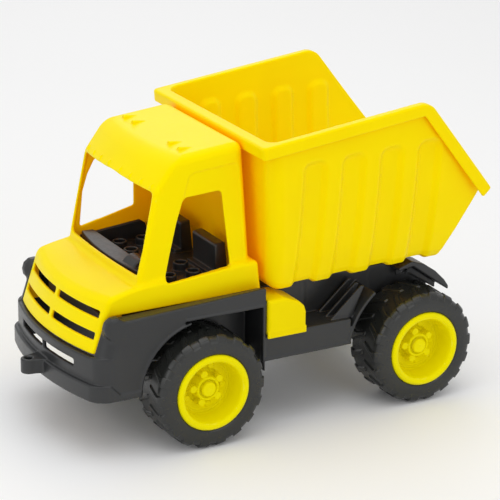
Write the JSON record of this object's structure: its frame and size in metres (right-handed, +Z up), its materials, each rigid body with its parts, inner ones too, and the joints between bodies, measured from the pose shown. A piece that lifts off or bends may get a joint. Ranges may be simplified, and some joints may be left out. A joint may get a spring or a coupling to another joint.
{
  "type": "toy dump truck",
  "caption": "Toy dump truck with a tipping open bed, a cab with open windows and studded floor, and free-spinning wheels; it rolls and tips its load.",
  "frame": {"origin": "on the ground midway between the front of the tow eye and the tip of the bed's tail, on the symmetry plane", "axes": "+X forward, +Y to the truck's left side, +Z up; ground at Z = 0"},
  "size_m": [0.2784, 0.1464, 0.1908],
  "materials": {
    "black_shell": "satin moulded black plastic",
    "yellow_shell": "glossy moulded yellow plastic",
    "black_interior": "satin moulded black plastic",
    "yellow_bed": "glossy moulded yellow plastic",
    "steel": "drawn steel",
    "yellow_tank": "glossy moulded yellow plastic",
    "yellow_rim": "glossy moulded yellow plastic",
    "tyre_black": "semi-gloss moulded black soft plastic"
  },
  "bodies": {
    "chassis_body": {"chassis": "black_shell", "cab_shell": "yellow_shell", "cab_interior": "black_interior", "fuel_tank_left": "yellow_tank", "fuel_tank_right": "yellow_tank", "axle_front": "steel", "axle_rear": "steel", "bed_hinge_pin": "steel", "cab_screws": "steel", "hub_cap_front_left": "yellow_rim", "hub_cap_front_right": "yellow_rim", "hub_cap_rear_left": "yellow_rim", "hub_cap_rear_right": "yellow_rim"},
    "bed": {"dump_bed": "yellow_bed"},
    "wheel_front_left": {"rim_front_left": "yellow_rim", "tyre_front_left": "tyre_black"},
    "wheel_front_right": {"rim_front_right": "yellow_rim", "tyre_front_right": "tyre_black"},
    "wheel_rear_left": {"rim_rear_left": "yellow_rim", "tyre_rear_left": "tyre_black"},
    "wheel_rear_right": {"rim_rear_right": "yellow_rim", "tyre_rear_right": "tyre_black"}
  },
  "joints": [
    {"name": "bed_tip", "type": "hinge", "parent": "chassis_body", "child": "bed", "pos_m": [-0.098, 0, 0.076], "axis": [0, -1, 0], "range_deg": [0, 36]},
    {"name": "spin_front_left", "type": "hinge", "parent": "chassis_body", "child": "wheel_front_left", "pos_m": [0.05, 0.058, 0.035], "axis": [0, 1, 0], "continuous": true},
    {"name": "spin_front_right", "type": "hinge", "parent": "chassis_body", "child": "wheel_front_right", "pos_m": [0.05, -0.058, 0.035], "axis": [0, 1, 0], "continuous": true},
    {"name": "spin_rear_left", "type": "hinge", "parent": "chassis_body", "child": "wheel_rear_left", "pos_m": [-0.095, 0.058, 0.035], "axis": [0, 1, 0], "continuous": true},
    {"name": "spin_rear_right", "type": "hinge", "parent": "chassis_body", "child": "wheel_rear_right", "pos_m": [-0.095, -0.058, 0.035], "axis": [0, 1, 0], "continuous": true}
  ]
}
